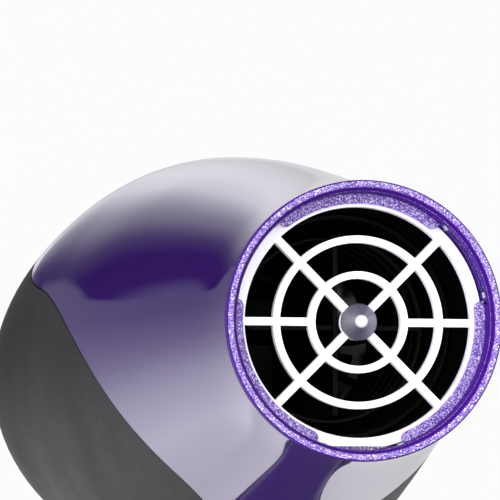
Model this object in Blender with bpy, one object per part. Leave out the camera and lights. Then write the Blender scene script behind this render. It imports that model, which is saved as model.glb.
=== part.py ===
"""Travel hair dryer, modelled piece by piece in Blender.

Lengths below are in millimetres. y is measured backwards from the outlet lip and z from the barrel
axis, and place() turns them into world metres, with the hanging loop standing on z = 0.
"""
import math

import bmesh
import bpy
from mathutils import Vector

MM = 0.001
TOTAL_LENGTH = 174.8      # outlet lip to the middle of the intake cap
AXIS_HEIGHT = 175.5       # barrel axis above the bottom of the hanging loop

# Outlet
LIP_RADIUS = 23.0
RING_BORE = 21.15
RING_LENGTH = 12.0
SPIGOT_RADIUS = 21.85
LEDGE_RADIUS = 19.5
LEDGE_HALF_ANGLE = 40.0
GRILLE_FRONT = 5.6
GRILLE_THICK = 1.7
GRILLE_RADIUS = 20.85
GRILLE_RINGS = ((19.03, GRILLE_RADIUS), (13.11, 14.29), (7.2, 8.38), (1.35, 2.95))
SPOKE_WIDTH = 1.3

# Body: y, half width, half height and centre height of each section of the head
SECTIONS = (
    (1.7, 23.0, 23.0, 0.0),
    (12.0, 23.8, 23.7, -0.15),
    (30.0, 26.7, 26.2, -0.6),
    (58.0, 31.1, 31.3, -1.2),
    (88.0, 35.5, 37.4, -2.4),
    (115.0, 38.5, 41.6, -3.6),
    (138.0, 40.9, 42.4, -2.4),
    (156.0, 44.8, 37.4, -3.7),
    (168.0, 36.8, 33.2, -5.6),
    (172.0, 31.0, 31.0, -6.0),
)
SIDES = 12
NECK_FIRST = 4            # sections between which the handle grows out of the head
NECK_LAST = 6
HANDLE_Y = 113.0
HANDLE_HALF_WIDTH = 13.0
HANDLE_HALF_DEPTH = 19.0
# Handle: z, half width, half depth
LEVELS = (
    (-57.0, 14.0, 22.0),
    (-69.0, 13.2, 19.6),
    (-92.0, 13.0, 19.0),
    (-152.0, 13.0, 19.0),
)
WALL = 2.0
SEAM_GAP = 0.3
# Side view of the seam between the two housings: y, z
SEAM = (
    (171.0, 64.0), (167.5, 50.0), (161.0, 36.0), (152.0, 25.0), (143.5, 18.0), (135.0, 14.2),
    (120.0, 11.3), (106.4, 7.4), (92.5, 2.0), (83.0, -2.6), (74.3, -7.8), (67.5, -12.9),
    (62.0, -18.1), (59.2, -22.4), (58.8, -26.0), (61.5, -29.2), (68.0, -32.0), (76.0, -34.8),
    (83.0, -38.0), (88.0, -42.0), (92.0, -48.0), (95.5, -56.0), (98.5, -68.0), (101.0, -86.0),
    (102.0, -105.0), (102.0, -190.0),
)

INTAKE_Z = -6.0

# Controls on the flat panel at the front of the handle
PANEL = (6.5, 93.4, 98.6, -135.0, -73.0)      # half width, front, back, bottom, top
SLIDE_TRAVEL = 8.0
SPEED_REST_Z = -104.0
HEAT_REST_Z = -126.0
COOL_Z = -81.5
DIAL_Z = -112.0
# Handle screws: z, and the y at which the bosses meet the front and rear walls
SCREWS = ((-66.0, 93.6, 132.4), (-141.0, 95.0, 131.0))

COLOURS = {
    "purple_gloss": ((0.13, 0.05, 0.26), 0.0, 0.12),
    "purple_glitter": ((0.33, 0.24, 0.52), 0.35, 0.38),
    "black_soft_touch": ((0.045, 0.045, 0.048), 0.0, 0.55),
    "white_ceramic": ((0.86, 0.86, 0.88), 0.0, 0.25),
    "turned_steel": ((0.62, 0.6, 0.64), 1.0, 0.3),
    "heat_plastic": ((0.02, 0.02, 0.022), 0.0, 0.5),
    "mica": ((0.24, 0.2, 0.16), 0.0, 0.45),
    "resistance_wire": ((0.42, 0.38, 0.35), 1.0, 0.4),
    "motor_steel": ((0.45, 0.45, 0.46), 1.0, 0.35),
    "duct_plastic": ((0.09, 0.09, 0.095), 0.0, 0.5),
    "black_gloss": ((0.012, 0.012, 0.014), 0.0, 0.15),
    "silver_plastic": ((0.55, 0.54, 0.58), 0.6, 0.3),
    "circuit_green": ((0.03, 0.16, 0.07), 0.0, 0.45),
    "black_rubber": ((0.02, 0.02, 0.021), 0.0, 0.75),
    "screw_steel": ((0.5, 0.5, 0.5), 1.0, 0.3),
}


def clear_scene():
    for item in list(bpy.data.objects):
        bpy.data.objects.remove(item, do_unlink=True)


def place(x, y, z):
    return Vector((x * MM, (y - TOTAL_LENGTH / 2) * MM, (z + AXIS_HEIGHT) * MM))


def material(name):
    found = bpy.data.materials.get(name)
    if found:
        return found
    colour, metallic, roughness = COLOURS[name]
    made = bpy.data.materials.new(name)
    made.use_nodes = True
    shader = made.node_tree.nodes["Principled BSDF"]
    shader.inputs["Base Color"].default_value = (*colour, 1.0)
    shader.inputs["Metallic"].default_value = metallic
    shader.inputs["Roughness"].default_value = roughness
    return made


def add_object(name, bm, material_name=None, smooth=True):
    bmesh.ops.recalc_face_normals(bm, faces=bm.faces)
    mesh = bpy.data.meshes.new(name)
    bm.to_mesh(mesh)
    bm.free()
    made = bpy.data.objects.new(name, mesh)
    bpy.context.scene.collection.objects.link(made)
    if material_name:
        mesh.materials.append(material(material_name))
    shade(made, smooth)
    return made


def shade(item, smooth=True):
    for polygon in item.data.polygons:
        polygon.use_smooth = smooth
    if smooth:
        item.data.set_sharp_from_angle(angle=math.radians(35))


def bake(item):
    """Apply the modifiers of an object."""
    depsgraph = bpy.context.evaluated_depsgraph_get()
    mesh = bpy.data.meshes.new_from_object(item.evaluated_get(depsgraph))
    item.modifiers.clear()
    item.data = mesh


def combine(item, tool, operation):
    """Join a tool body to an object, or cut or keep what it covers. The tool is used up."""
    boolean = item.modifiers.new(operation.title(), "BOOLEAN")
    boolean.operation = operation
    boolean.solver = "EXACT"
    boolean.object = tool
    bake(item)
    bpy.data.objects.remove(tool, do_unlink=True)
    materials = item.data.materials
    while len(materials) > 1:
        materials.pop(index=len(materials) - 1)
    for polygon in item.data.polygons:
        polygon.material_index = 0


def join(item, tool):
    combine(item, tool, "UNION")


def cut(item, tool):
    combine(item, tool, "DIFFERENCE")


def gather(name, items):
    """Put the meshes of several bodies into one object."""
    bm = bmesh.new()
    for item in items:
        bm.from_mesh(item.data)
    materials = [slot for slot in items[0].data.materials]
    for item in items:
        bpy.data.objects.remove(item, do_unlink=True)
    made = add_object(name, bm)
    for slot in materials:
        made.data.materials.append(slot)
    return made


def turned(name, profile, material_name=None, axis="Y", centre=(0.0, 0.0), segments=40):
    """A turned body. The profile lists (position along the axis, radius) round its outline.

    centre is (x, z) for a body turned about Y, and (x, y) for one turned about Z.
    """
    bm = bmesh.new()
    rings = []
    for along, radius in profile:
        count = segments if radius > 0 else 1
        ring = []
        for step in range(count):
            angle = 2 * math.pi * step / segments
            u = centre[0] + radius * math.sin(angle)
            v = centre[1] + radius * math.cos(angle)
            point = place(u, along, v) if axis == "Y" else place(u, v, along)
            ring.append(bm.verts.new(point))
        rings.append(ring)
    for first, second in zip(rings, rings[1:] + rings[:1]):
        if len(first) == 1 and len(second) == 1:
            continue
        for step in range(segments):
            after = (step + 1) % segments
            corners = [first[step % len(first)], first[after % len(first)],
                       second[after % len(second)], second[step % len(second)]]
            bm.faces.new(list(dict.fromkeys(corners)))
    return add_object(name, bm, material_name)


def block(name, x, y, z, material_name=None, bevel=0.0):
    """A box between the limits x, y and z, with its edges rounded off."""
    bm = bmesh.new()
    bmesh.ops.create_cube(bm, size=1.0)
    low = place(x[0], y[0], z[0])
    high = place(x[1], y[1], z[1])
    for vert in bm.verts:
        vert.co = Vector([low[i] if vert.co[i] < 0 else high[i] for i in range(3)])
    if bevel:
        bmesh.ops.bevel(bm, geom=bm.edges[:], offset=bevel * MM, segments=2, profile=0.5, affect="EDGES")
    return add_object(name, bm, material_name)


def prism(name, outline, x, material_name=None):
    """A side-view outline of (y, z) points, extruded between two values of x."""
    bm = bmesh.new()
    near = [bm.verts.new(place(x[0], y, z)) for y, z in outline]
    far = [bm.verts.new(place(x[1], y, z)) for y, z in outline]
    bm.faces.new(near)
    bm.faces.new(list(reversed(far)))
    for i in range(len(outline)):
        j = (i + 1) % len(outline)
        bm.faces.new((near[j], near[i], far[i], far[j]))
    return add_object(name, bm, material_name)


def arc_block(name, inner, outer, y, middle, half_angle, rounding=0.0, material_name=None):
    """Part of a flat ring about the barrel axis, its ends rounded. Angles in degrees from the top."""
    steps = 10
    outline = []
    for i in range(steps + 1):
        angle = math.radians(middle - half_angle + 2 * half_angle * i / steps)
        outline.append((outer, angle))
    turn = math.radians(rounding) / inner * 57.3 if rounding else 0.0
    start = math.radians(middle + half_angle)
    end = math.radians(middle - half_angle)
    if rounding:
        for i in range(1, 4):
            quarter = math.radians(90 * i / 3)
            outline.append((inner + rounding * (1 - math.sin(quarter)), start - turn * (1 - math.cos(quarter))))
    for i in range(steps + 1):
        angle = start - turn + (end - start + 2 * turn) * i / steps
        outline.append((inner, angle))
    if rounding:
        for i in range(2, -1, -1):
            quarter = math.radians(90 * i / 3)
            outline.append((inner + rounding * (1 - math.sin(quarter)), end + turn * (1 - math.cos(quarter))))
    points = []
    for radius, angle in outline:
        point = (radius * math.sin(angle), radius * math.cos(angle))
        if not points or math.dist(point, points[-1]) > 0.01:
            points.append(point)
    if math.dist(points[0], points[-1]) < 0.01:
        points.pop()
    bm = bmesh.new()
    near = [bm.verts.new(place(u, y[0], v)) for u, v in points]
    far = [bm.verts.new(place(u, y[1], v)) for u, v in points]
    bm.faces.new(near)
    bm.faces.new(list(reversed(far)))
    for i in range(len(points)):
        j = (i + 1) % len(points)
        bm.faces.new((near[j], near[i], far[i], far[j]))
    return add_object(name, bm, material_name)


def tube_along(name, path, radius, sides, material_name=None, closed=False, level=(0, 1, 0)):
    """A round wire along a path of world points. level is a direction the path never takes."""
    bm = bmesh.new()
    rings = []
    count = len(path)
    for i, point in enumerate(path):
        before = path[(i - 1) % count] if closed or i else path[0]
        after = path[(i + 1) % count] if closed or i < count - 1 else path[-1]
        along = (after - before).normalized()
        side = along.cross(Vector(level)).normalized()
        up = side.cross(along)
        rings.append([
            bm.verts.new(point + radius * MM * (side * math.cos(a) + up * math.sin(a)))
            for a in (2 * math.pi * k / sides for k in range(sides))
        ])
    pairs = list(zip(rings, rings[1:]))
    if closed:
        pairs.append((rings[-1], rings[0]))
    for first, second in pairs:
        for k in range(sides):
            m = (k + 1) % sides
            bm.faces.new((first[k], first[m], second[m], second[k]))
    if not closed:
        bm.faces.new(rings[0])
        bm.faces.new(list(reversed(rings[-1])))
    return add_object(name, bm, material_name)


def set_origin(item, origin):
    """Move an object's origin, here onto the axis that it moves about."""
    offset = item.location - origin
    for vert in item.data.vertices:
        vert.co += offset
    item.location = origin


# ---------------------------------------------------------------- housings

def body_cage():
    """The control cage of the outside of the head and handle."""
    stretch = 6 / (4 + 2 * math.cos(2 * math.pi / SIDES))
    bm = bmesh.new()
    rings = []
    for y, half_width, half_height, height in SECTIONS:
        ring = []
        for side in range(SIDES):
            angle = 2 * math.pi * side / SIDES
            ring.append(bm.verts.new(place(half_width * stretch * math.sin(angle), y,
                                           height + half_height * stretch * math.cos(angle))))
        rings.append(ring)
    low = SIDES // 2
    for i in range(len(rings) - 1):
        for k in range(SIDES):
            if NECK_FIRST <= i < NECK_LAST and k in (low - 1, low):
                continue
            m = (k + 1) % SIDES
            bm.faces.new((rings[i][k], rings[i][m], rings[i + 1][m], rings[i + 1][k]))
    first, middle, last = rings[NECK_FIRST], rings[NECK_FIRST + 1], rings[NECK_LAST]
    loop = [first[low - 1], first[low], first[low + 1], middle[low + 1],
            last[low + 1], last[low], last[low - 1], middle[low - 1]]
    for z, half_width, half_depth in LEVELS:
        front = HANDLE_Y - half_depth
        back = HANDLE_Y + half_depth
        spots = ((half_width, front), (0, front), (-half_width, front), (-half_width, HANDLE_Y),
                 (-half_width, back), (0, back), (half_width, back), (half_width, HANDLE_Y))
        below = [bm.verts.new(place(x, y, z)) for x, y in spots]
        for k in range(8):
            m = (k + 1) % 8
            bm.faces.new((loop[k], loop[m], below[m], below[k]))
        loop = below
    return bm


def body_shell():
    shell = add_object("body_shell", body_cage())
    smoothing = shell.modifiers.new("Smooth surface", "SUBSURF")
    smoothing.levels = 2
    smoothing.render_levels = 2
    smoothing.use_limit_surface = False
    wall = shell.modifiers.new("Wall", "SOLIDIFY")
    wall.thickness = WALL * MM
    wall.offset = -1.0
    wall.use_even_offset = True
    bake(shell)
    return shell


def seam_curve(shift, steps=2):
    """The seam as a smooth curve, moved by shift towards the rear."""
    points = []
    for i in range(len(SEAM) - 1):
        before = Vector(SEAM[max(i - 1, 0)])
        start = Vector(SEAM[i])
        end = Vector(SEAM[i + 1])
        after = Vector(SEAM[min(i + 2, len(SEAM) - 1)])
        for s in range(steps):
            t = s / steps
            points.append(0.5 * (2 * start + (end - before) * t
                                 + (2 * before - 5 * start + 4 * end - after) * t * t
                                 + (3 * start - before - 3 * end + after) * t ** 3))
    points.append(Vector(SEAM[-1]))
    moved = []
    for i, point in enumerate(points):
        along = (points[min(i + 1, len(points) - 1)] - points[max(i - 1, 0)]).normalized()
        moved.append(point + shift * Vector((-along.y, along.x)))
    return [(p.x, p.y) for p in moved]


def side_prism(name, shift, bound_y):
    """Everything on one side of the seam, out to bound_y."""
    curve = seam_curve(shift)
    outline = curve + [(bound_y, curve[-1][1]), (bound_y, curve[0][1])]
    return prism(name, outline, (-70.0, 70.0))


def copy_of(item, name):
    made = item.copy()
    made.data = item.data.copy()
    made.name = name
    bpy.context.scene.collection.objects.link(made)
    return made


def dress(item, material_name):
    item.data.materials.clear()
    item.data.materials.append(material(material_name))
    shade(item)


def make_housings():
    shell = body_shell()
    front = copy_of(shell, "front_housing")
    rear = shell
    rear.name = "rear_housing"
    combine(front, side_prism("front_side", -SEAM_GAP / 2, -30.0), "INTERSECT")
    combine(rear, side_prism("rear_side", SEAM_GAP / 2, 230.0), "INTERSECT")
    half_width, _, _, bottom, top = PANEL
    cut(front, turned("ring_seat", [(-5.0, 0), (-5.0, SPIGOT_RADIUS + 0.3), (RING_LENGTH + 0.3, SPIGOT_RADIUS + 0.3),
                                    (RING_LENGTH + 0.3, 0)], segments=48))
    cut(front, block("panel_pocket", (-half_width - 0.3, half_width + 0.3), (85.0, 101.0),
                     (bottom - 0.3, top + 0.3)))
    join(front, gather("bosses", [
        turned("boss", [(near, 0), (near, 3.6), (106.6, 3.6), (106.6, 1.6), (near + 4.0, 1.6), (near + 4.0, 0)],
               centre=(0, height), segments=20)
        for height, near, _ in SCREWS]))
    join(rear, gather("bosses", [
        turned("boss", [(107.0, 1.7), (107.0, 4.6), (far, 4.6), (far, 3.2), (far - 3.6, 3.2), (far - 3.6, 1.7)],
               centre=(0, height), segments=20)
        for height, _, far in SCREWS]))
    holes = [turned("screw_hole", [(far - 1.6, 0), (far - 1.6, 3.3), (140.0, 3.3), (140.0, 0)],
                    centre=(0, height), segments=24) for height, _, far in SCREWS]
    holes.append(turned("dial_hole", [(120.0, 0), (120.0, 6.4), (140.0, 6.4), (140.0, 0)], centre=(0, DIAL_Z),
                        segments=32))
    cut(rear, gather("holes", holes))
    dress(front, "purple_gloss")
    dress(rear, "black_soft_touch")


# ---------------------------------------------------------------- outlet

def make_outlet():
    ring = turned("outlet_ring", [
        (0.0, 22.1), (0.0, 22.6), (0.25, 22.88), (0.7, LIP_RADIUS), (1.4, LIP_RADIUS), (1.4, SPIGOT_RADIUS),
        (RING_LENGTH, SPIGOT_RADIUS), (RING_LENGTH, RING_BORE), (1.3, RING_BORE), (0.7, 21.45), (0.2, 21.8)], "purple_glitter", segments=48)
    for middle in (0.0, 120.0, 240.0):
        join(ring, arc_block("ledge", LEDGE_RADIUS, RING_BORE + 0.3, (4.3, 5.3), middle, LEDGE_HALF_ANGLE, 1.2))
    for middle in (60.0, 180.0, 300.0):
        cut(ring, arc_block("bayonet_groove", RING_BORE - 0.6, RING_BORE + 0.45, (2.6, 4.0), middle, 17.0))
    shade(ring)

    back = GRILLE_FRONT + GRILLE_THICK
    hoops = [turned("hoop", [
        (GRILLE_FRONT, inner), (GRILLE_FRONT, outer), (back, outer), (back, inner)], "white_ceramic",
        segments=44 if inner > 10 else 28) for inner, outer in GRILLE_RINGS]
    grille = gather("outlet_grille", hoops)
    depth = (GRILLE_FRONT + 0.04, back - 0.04)
    width = (-SPOKE_WIDTH / 2, SPOKE_WIDTH / 2)
    spokes = []
    for angle, start in ((45, 2.6), (135, 2.6), (225, 2.6), (315, 2.6), (90, 7.8), (270, 7.8)):
        spoke = block("spoke", width, depth, (start, 19.6))
        turn_about_barrel(spoke, angle)
        spokes.append(spoke)
    join(grille, gather("spokes", spokes))
    shade(grille)


def turn_about_barrel(item, degrees):
    """Turn a body's mesh about the barrel axis, clockwise as seen from the front."""
    angle = math.radians(degrees)
    centre = place(0, 0, 0)
    for vert in item.data.vertices:
        x = vert.co.x - centre.x
        z = vert.co.z - centre.z
        vert.co.x = centre.x + x * math.cos(angle) + z * math.sin(angle)
        vert.co.z = centre.z - x * math.sin(angle) + z * math.cos(angle)


def make_hub():
    """The turned cone in the middle of the grille, its stud pushed through from the front."""
    front = GRILLE_FRONT - 0.3
    turned("grille_hub", [(front - 2.8, 0), (front - 2.7, 0.45), (front - 0.35, 3.0), (front, 3.05), (front, 1.05),
                          (9.4, 1.05), (9.6, 0.8), (9.6, 0)], "turned_steel", segments=28)


# ---------------------------------------------------------------- heater

def make_heater():
    turned("heat_sleeve", [(7.6, 19.4), (7.6, 20.8), (30.0, 20.8), (30.0, 19.4)], "heat_plastic", segments=36)
    turned("mica_sleeve", [(20.0, 18.3), (20.0, 18.9), (80.0, 18.9), (80.0, 18.3)], "mica", segments=32)
    upright = block("mica_board_upright", (-0.4, 0.4), (24.0, 78.0), (-14.8, 14.8), "mica")
    cut(upright, block("lap", (-2.0, 2.0), (50.85, 90.0), (-0.7, 0.7)))
    level = block("mica_board_level", (-14.8, 14.8), (24.0, 78.0), (-0.4, 0.4), "mica")
    cut(level, block("lap", (-0.7, 0.7), (10.0, 51.15), (-2.0, 2.0)))
    shade(upright, False)
    shade(level, False)
    turns = 8
    per_turn = 14
    path = []
    for i in range(turns * per_turn + 1):
        angle = 2 * math.pi * i / per_turn
        path.append(place(15.75 * math.sin(angle), 27.0 + 46.0 * i / (turns * per_turn), 15.75 * math.cos(angle)))
    tube_along("heating_coil", path, 0.5, 4, "resistance_wire")
    block("thermostat", (4.0, 11.0), (60.0, 72.0), (0.75, 4.0), "motor_steel", 0.5)
    turned("thermal_fuse", [(58.0, 0), (58.0, 1.2), (70.0, 1.2), (70.0, 0)], "silver_plastic",
           centre=(-7.0, 2.0), segments=14)


# ---------------------------------------------------------------- air path

def make_air_path():
    duct = turned("fan_duct", [(81.0, 19.0), (81.0, 20.4), (92.0, 28.4), (146.0, 28.4), (146.0, 27.0), (92.5, 27.0)],
                  "duct_plastic", segments=36)
    cup = turned("cup", [(96.0, 12.9), (96.0, 14.2), (119.0, 14.2), (119.0, 12.9)], segments=28)
    vanes = []
    for step in range(5):
        vane = block("vane", (-0.7, 0.7), (99.0, 117.0), (13.5, 27.6))
        turn_about_barrel(vane, 72 * step + 36)
        vanes.append(vane)
    join(cup, gather("vanes", vanes))
    join(duct, cup)
    shade(duct)
    turned("motor", [(95.0, 0), (95.0, 9.0), (96.5, 12.5), (120.5, 12.5), (122.0, 11.0), (122.0, 4.5), (124.0, 4.0),
                     (124.0, 1.25), (117.0, 1.25), (117.0, 0)], "motor_steel", segments=28)
    turned("motor_shaft", [(117.4, 0), (117.4, 1.15), (140.6, 1.15), (140.6, 0)], "screw_steel", segments=16)
    fan = turned("fan", [(127.0, 1.25), (127.0, 7.2), (128.0, 8.0), (139.0, 8.0), (139.0, 1.25)], "duct_plastic",
                 segments=28)
    join(fan, gather("blades", [fan_blade(360 * step / 7) for step in range(7)]))
    shade(fan)
    shell = turned("intake_grille", [
        (166.5, 27.3), (166.5, 28.6), (172.35, 28.6), (172.35, 30.2), (173.2, 30.6), (174.0, 30.2), (174.4, 29.0),
        (174.4, 26.6), (173.2, 26.2), (172.4, 27.3)], "black_soft_touch", centre=(0, INTAKE_Z), segments=30)
    hoops = [turned("hoop", [(172.8, r - 0.9), (174.8, r - 0.9), (174.8, r + 0.9), (172.8, r + 0.9)],
                    centre=(0, INTAKE_Z), segments=n) for r, n in ((9.5, 16), (15.0, 20), (20.5, 24))]
    hoops.append(turned("middle", [(172.8, 0), (174.8, 0), (174.8, 5.2), (172.8, 5.2)], centre=(0, INTAKE_Z),
                        segments=24))
    spokes = []
    for step in range(8):
        spoke = block("spoke", (-0.8, 0.8), (172.9, 174.65), (4.0, 26.9))
        turn_about_barrel(spoke, 45 * step + 22.5)
        for vert in spoke.data.vertices:
            vert.co.z += INTAKE_Z * MM
        spokes.append(spoke)
    join(shell, gather("hoops", hoops))
    join(shell, gather("spokes", spokes))
    shade(shell)
    mesh = turned("lint_filter", [(168.0, 0), (168.0, 26.9), (169.0, 26.9), (169.0, 0)], "black_rubber",
                  centre=(0, INTAKE_Z), segments=32)
    pitch = 8.0
    windows = []
    for row in range(-3, 4):
        for column in range(-3, 4):
            u = column * pitch
            v = row * pitch
            if math.hypot(u, v) > 22.7:
                continue
            windows.append(block("window", (u - 3.2, u + 3.2), (160.0, 175.0),
                                 (INTAKE_Z + v - 3.2, INTAKE_Z + v + 3.2)))
    cut(mesh, gather("windows", windows))
    shade(mesh, False)
    middle = place(0, 0, INTAKE_Z)
    set_origin(shell, Vector((0, place(0, 172.0, 0).y, middle.z)))
    set_origin(mesh, Vector((0, place(0, 172.0, 0).y, middle.z)))
    for name in ("fan", "motor_shaft"):
        set_origin(bpy.data.objects[name], place(0, 133.0, 0))


def fan_blade(degrees):
    """A twisted blade, from inside the hub to just short of the duct."""
    bm = bmesh.new()
    layers = []
    for i in range(5):
        radius = 7.0 + 18.4 * i / 4
        pitch = math.radians(52 - 24 * i / 4)
        half_chord = 5.2 + 1.6 * i / 4
        corners = []
        for side, face in ((-1, -1), (1, -1), (1, 1), (-1, 1)):
            across = side * half_chord * math.cos(pitch) + face * 0.5 * math.sin(pitch)
            along = side * half_chord * math.sin(pitch) * 0.85 - face * 0.5 * math.cos(pitch)
            corners.append(bm.verts.new(place(across, 133.0 + along, radius)))
        layers.append(corners)
    for first, second in zip(layers, layers[1:]):
        for k in range(4):
            m = (k + 1) % 4
            bm.faces.new((first[k], first[m], second[m], second[k]))
    bm.faces.new(layers[0])
    bm.faces.new(list(reversed(layers[-1])))
    blade = add_object("blade", bm)
    turn_about_barrel(blade, degrees)
    return blade


# ---------------------------------------------------------------- controls

def slot_block(name, centre_z):
    """The slot that a slider's stem runs in, from its rest position to the end of its travel."""
    return block(name, (-1.8, 1.8), (90.0, 100.0), (centre_z - 2.5, centre_z + SLIDE_TRAVEL + 2.5))


def make_controls():
    half_width, front, back, bottom, top = PANEL
    panel = block("switch_panel", (-half_width, half_width), (front, back), (bottom, top), "black_gloss", 0.5)
    join(panel, block("flange", (-7.5, 7.5), (97.3, back), (bottom - 2.0, top + 2.0)))
    cut(panel, gather("openings", [
        slot_block("speed_slot", SPEED_REST_Z),
        slot_block("heat_slot", HEAT_REST_Z),
        turned("button_hole", [(90.0, 0), (90.0, 4.5), (100.0, 4.5), (100.0, 0)], centre=(0, COOL_Z), segments=28)]))
    shade(panel)
    for name, rest in (("speed_slider", SPEED_REST_Z), ("heat_slider", HEAT_REST_Z)):
        slider = block(name, (-4.6, 4.6), (90.4, front - 0.3), (rest - 5.0, rest + 5.0), "silver_plastic", 0.6)
        ridges = [block("ridge", (-3.6, 3.6), (89.7, 91.0), (rest + v - 0.4, rest + v + 0.4))
                  for v in (-3.0, -1.5, 0.0, 1.5, 3.0)]
        stem = block("stem", (-1.5, 1.5), (92.6, 99.5), (rest - 2.2, rest + 2.2))
        join(slider, gather("stem_and_ridges", ridges + [stem]))
        shade(slider)
        set_origin(slider, place(0, front, rest))
    button = turned("cool_shot_button", [
        (91.2, 0), (91.2, 3.6), (91.7, 4.2), (98.95, 4.2), (98.95, 5.2), (100.1, 5.2), (100.1, 0)],
        "silver_plastic", centre=(0, COOL_Z), segments=28)
    set_origin(button, place(0, front, COOL_Z))
    path = []
    for i in range(4 * 10 + 1):
        angle = 2 * math.pi * i / 10
        path.append(place(2.6 * math.sin(angle), 100.85 + 4.2 * i / 40, COOL_Z + 2.6 * math.cos(angle)))
    spring = tube_along("cool_shot_spring", path, 0.3, 4, "screw_steel")
    set_origin(spring, place(0, 105.4, COOL_Z))
    block("cool_shot_switch", (-5.0, 5.0), (105.8, 109.4), (COOL_Z - 5.0, COOL_Z + 5.0), "heat_plastic", 0.4)
    for name, rest in (("speed_switch", SPEED_REST_Z), ("heat_switch", HEAT_REST_Z)):
        middle = rest + SLIDE_TRAVEL / 2
        block(name, (-6.0, 6.0), (99.9, 109.4), (middle - 7.5, middle + 7.5), "heat_plastic", 0.5)
    block("circuit_board", (-9.0, 9.0), (109.7, 111.3), (-135.5, -76.0), "circuit_green")
    dial = turned("voltage_dial", [
        (122.0, 0), (122.0, 6.0), (131.3, 6.0), (131.6, 5.6), (131.6, 0)], "black_gloss", centre=(0, DIAL_Z),
        segments=32)
    cut(dial, block("coin_slot", (-0.9, 0.9), (129.8, 140.0), (DIAL_Z - 4.6, DIAL_Z + 4.6)))
    shade(dial)
    set_origin(dial, place(0, 131.6, DIAL_Z))


# ---------------------------------------------------------------- handle end and screws

def handle_outline(half_width, half_depth, count=32):
    """The handle's section: a closed cubic through the eight control points of its cage."""
    corners = ((half_width, -half_depth), (0, -half_depth), (-half_width, -half_depth), (-half_width, 0),
               (-half_width, half_depth), (0, half_depth), (half_width, half_depth), (half_width, 0))
    points = []
    each = count // 8
    for i in range(8):
        p = [Vector(corners[(i + k) % 8]) for k in range(-1, 3)]
        for s in range(each):
            t = s / each
            points.append((p[0] * (1 - t) ** 3 + p[1] * (3 * t ** 3 - 6 * t * t + 4)
                           + p[2] * (-3 * t ** 3 + 3 * t * t + 3 * t + 1) + p[3] * t ** 3) / 6)
    return points


def make_handle_end():
    levels = ((-148.5, 2.6), (-152.4, 2.6), (-152.4, 0.0), (-157.6, 0.0), (-159.0, 0.7), (-159.6, 2.2))
    bm = bmesh.new()
    rings = []
    for z, inset in levels:
        outline = handle_outline(HANDLE_HALF_WIDTH - inset, HANDLE_HALF_DEPTH - inset)
        rings.append([bm.verts.new(place(p.x, HANDLE_Y + p.y, z)) for p in outline])
    count = len(rings[0])
    for first, second in zip(rings, rings[1:]):
        for k in range(count):
            m = (k + 1) % count
            bm.faces.new((first[k], first[m], second[m], second[k]))
    bm.faces.new(rings[0])
    bm.faces.new(list(reversed(rings[-1])))
    cap = add_object("handle_end_cap", bm, "black_soft_touch")
    cut(cap, gather("holes", [
        turned("gland_hole", [(-140.0, 0), (-140.0, 4.6), (-165.0, 4.6), (-165.0, 0)], axis="Z",
               centre=(0, HANDLE_Y - 3.0), segments=24),
        turned("loop_hole", [(-140.0, 0), (-140.0, 1.9), (-165.0, 1.9), (-165.0, 0)], axis="Z",
               centre=(0, HANDLE_Y + 10.5), segments=16)]))
    shade(cap)
    turned("cord_gland", [
        (-146.9, 3.0), (-146.9, 5.6), (-148.2, 5.6), (-148.2, 4.3), (-159.9, 4.3), (-159.9, 5.6), (-162.0, 5.2),
        (-163.4, 4.2), (-163.4, 3.0)], "black_rubber", axis="Z", centre=(0, HANDLE_Y - 3.0), segments=24)
    middle = (HANDLE_Y + 10.5, -167.7)
    path = []
    for i in range(20):
        angle = 2 * math.pi * i / 20
        path.append(place(0, middle[0] + 6.2 * math.sin(angle), middle[1] + 6.2 * math.cos(angle)))
    loop = tube_along("hanging_loop", path, 1.6, 8, "black_rubber", closed=True, level=(1, 0, 0))
    stem = turned("stem", [(-146.8, 0), (-146.8, 2.8), (-148.2, 2.8), (-148.2, 1.6), (-161.4, 1.55), (-161.4, 0)],
                  axis="Z", centre=(0, HANDLE_Y + 10.5), segments=16)
    join(loop, stem)
    shade(loop)
    for name, (height, near, far) in zip(("handle_screw_upper", "handle_screw_lower"), SCREWS):
        seat = far - 3.3
        screw = turned(name, [
            (near + 4.3, 0), (near + 5.3, 1.3), (seat, 1.3), (seat, 2.8), (seat + 1.7, 2.8), (seat + 2.2, 2.2),
            (seat + 2.2, 0)], "screw_steel", centre=(0, height), segments=18)
        for width, tall in ((1.8, 0.35), (0.35, 1.8)):
            cut(screw, block("cross_slot", (-width, width), (seat + 1.2, seat + 4.0), (height - tall, height + tall)))
        shade(screw)


def main():
    clear_scene()
    make_housings()
    make_outlet()
    make_hub()
    make_heater()
    make_air_path()
    make_controls()
    make_handle_end()


main()
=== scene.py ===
"""A travel hair dryer: finer shapes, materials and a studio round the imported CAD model.

Lengths are in millimetres until place() turns them into metres of the shared frame. In millimetres, y runs from
the outlet's lip to the rear, and z is measured from the barrel axis.
"""

import math

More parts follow.
